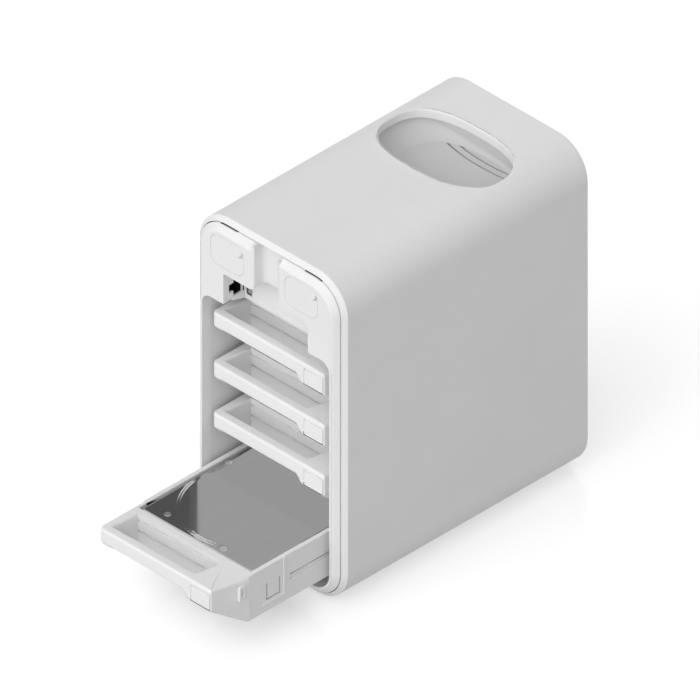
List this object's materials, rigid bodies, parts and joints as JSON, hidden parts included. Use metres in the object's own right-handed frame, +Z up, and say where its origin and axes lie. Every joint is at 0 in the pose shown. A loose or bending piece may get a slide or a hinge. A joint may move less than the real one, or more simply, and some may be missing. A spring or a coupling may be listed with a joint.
{
  "type": "network storage enclosure",
  "caption": "Upright white network storage enclosure with handled drive trays, one drawn out, a port recess and a hand scoop in its top.",
  "frame": {"origin": "centre of the case's footprint, on the surface that its rubber pad stands on", "axes": "+Z up, -Y out of the front with the trays, +X to the right seen from the front"},
  "size_m": [0.135, 0.3265, 0.2555],
  "materials": {
    "white_plastic": "smooth satin moulding",
    "tray_plastic": "smooth satin moulding",
    "cage_plastic": "fine matt moulding",
    "rubber_pad": "matt",
    "screw_steel": "bright plated",
    "port_steel": "plated sheet",
    "dark_plastic": "satin black",
    "circuit_board": "solder mask",
    "sink_aluminium": "extruded",
    "drive_casting": "cast, satin",
    "drive_steel": "bright rolled sheet"
  },
  "bodies": {
    "case": {"outer_shell": "white_plastic", "front_bezel": "white_plastic", "rear_panel": "white_plastic", "top_scoop": "white_plastic", "port_shroud": "white_plastic", "port_plate": "white_plastic", "base_pad": "rubber_pad", "case_screws": "screw_steel", "fan_screws": "screw_steel", "lan_jack": "dark_plastic", "usb_port": "port_steel", "status_light": "dark_plastic", "power_inlet": "dark_plastic", "mainboard": "circuit_board", "backplane": "circuit_board", "heat_sink": "sink_aluminium", "cage_left": "cage_plastic", "cage_right": "cage_plastic", "cage_floor": "cage_plastic", "cage_ceiling": "cage_plastic", "ssd_guides": "cage_plastic", "sata_sockets": "dark_plastic", "fan_frame": "dark_plastic"},
    "fan": {"fan_rotor": "dark_plastic"},
    "sled_left": {"ssd_sled_left": "white_plastic", "ssd_left": "circuit_board"},
    "sled_right": {"ssd_sled_right": "white_plastic", "ssd_right": "circuit_board"},
    "tray_body_1": {"tray_1": "tray_plastic", "handle_1": "tray_plastic", "drive_1": "drive_casting", "drive_lid_1": "drive_steel", "drive_board_1": "circuit_board", "drive_screws_1": "screw_steel"},
    "button_body_1": {"button_1": "tray_plastic"},
    "catch_body_1": {"catch_1": "tray_plastic"},
    "tray_body_2": {"tray_2": "tray_plastic", "handle_2": "tray_plastic", "drive_2": "drive_casting", "drive_lid_2": "drive_steel", "drive_board_2": "circuit_board", "drive_screws_2": "screw_steel"},
    "button_body_2": {"button_2": "tray_plastic"},
    "catch_body_2": {"catch_2": "tray_plastic"},
    "tray_body_3": {"tray_3": "tray_plastic", "handle_3": "tray_plastic", "drive_3": "drive_casting", "drive_lid_3": "drive_steel", "drive_board_3": "circuit_board", "drive_screws_3": "screw_steel"},
    "button_body_3": {"button_3": "tray_plastic"},
    "catch_body_3": {"catch_3": "tray_plastic"},
    "tray_body_4": {"tray_4": "tray_plastic", "handle_4": "tray_plastic", "drive_4": "drive_casting", "drive_lid_4": "drive_steel", "drive_board_4": "circuit_board", "drive_screws_4": "screw_steel"},
    "button_body_4": {"button_4": "tray_plastic"},
    "catch_body_4": {"catch_4": "tray_plastic"}
  },
  "joints": [
    {"name": "fan_spin", "type": "hinge", "parent": "case", "child": "fan", "pos_m": [0, 0.0865, 0.1065], "axis": [0, 1, 0], "continuous": true},
    {"name": "sled_left_slide", "type": "slide", "parent": "case", "child": "sled_left", "axis": [0, -1, 0], "range_m": [0, 0.1]},
    {"name": "sled_right_slide", "type": "slide", "parent": "case", "child": "sled_right", "axis": [0, -1, 0], "range_m": [0, 0.1]},
    {"name": "tray_1_slide", "type": "slide", "parent": "case", "child": "tray_body_1", "axis": [0, -1, 0], "range_m": [0, 0.19]},
    {"name": "button_1_press", "type": "slide", "parent": "tray_body_1", "child": "button_body_1", "axis": [0, 1, 0], "range_m": [0, 0.0025], "stiffness_N_per_m": 600},
    {"name": "catch_1_draw", "type": "slide", "parent": "tray_body_1", "child": "catch_body_1", "axis": [-1, 0, 0], "range_m": [0, 0.002]},
    {"name": "tray_2_slide", "type": "slide", "parent": "case", "child": "tray_body_2", "axis": [0, -1, 0], "range_m": [0, 0.19]},
    {"name": "button_2_press", "type": "slide", "parent": "tray_body_2", "child": "button_body_2", "axis": [0, 1, 0], "range_m": [0, 0.0025], "stiffness_N_per_m": 600},
    {"name": "catch_2_draw", "type": "slide", "parent": "tray_body_2", "child": "catch_body_2", "axis": [-1, 0, 0], "range_m": [0, 0.002]},
    {"name": "tray_3_slide", "type": "slide", "parent": "case", "child": "tray_body_3", "axis": [0, -1, 0], "range_m": [0, 0.19]},
    {"name": "button_3_press", "type": "slide", "parent": "tray_body_3", "child": "button_body_3", "axis": [0, 1, 0], "range_m": [0, 0.0025], "stiffness_N_per_m": 600},
    {"name": "catch_3_draw", "type": "slide", "parent": "tray_body_3", "child": "catch_body_3", "axis": [-1, 0, 0], "range_m": [0, 0.002]},
    {"name": "tray_4_slide", "type": "slide", "parent": "case", "child": "tray_body_4", "axis": [0, -1, 0], "range_m": [-0.103, 0.087]},
    {"name": "button_4_press", "type": "slide", "parent": "tray_body_4", "child": "button_body_4", "axis": [0, 1, 0], "range_m": [0, 0.0025], "stiffness_N_per_m": 600},
    {"name": "catch_4_draw", "type": "slide", "parent": "tray_body_4", "child": "catch_body_4", "axis": [-1, 0, 0], "range_m": [0, 0.002]}
  ],
  "couplings": [
    {"joint": "catch_1_draw", "follows": "button_1_press", "ratio": 0.8},
    {"joint": "catch_2_draw", "follows": "button_2_press", "ratio": 0.8},
    {"joint": "catch_3_draw", "follows": "button_3_press", "ratio": 0.8},
    {"joint": "catch_4_draw", "follows": "button_4_press", "ratio": 0.8}
  ]
}
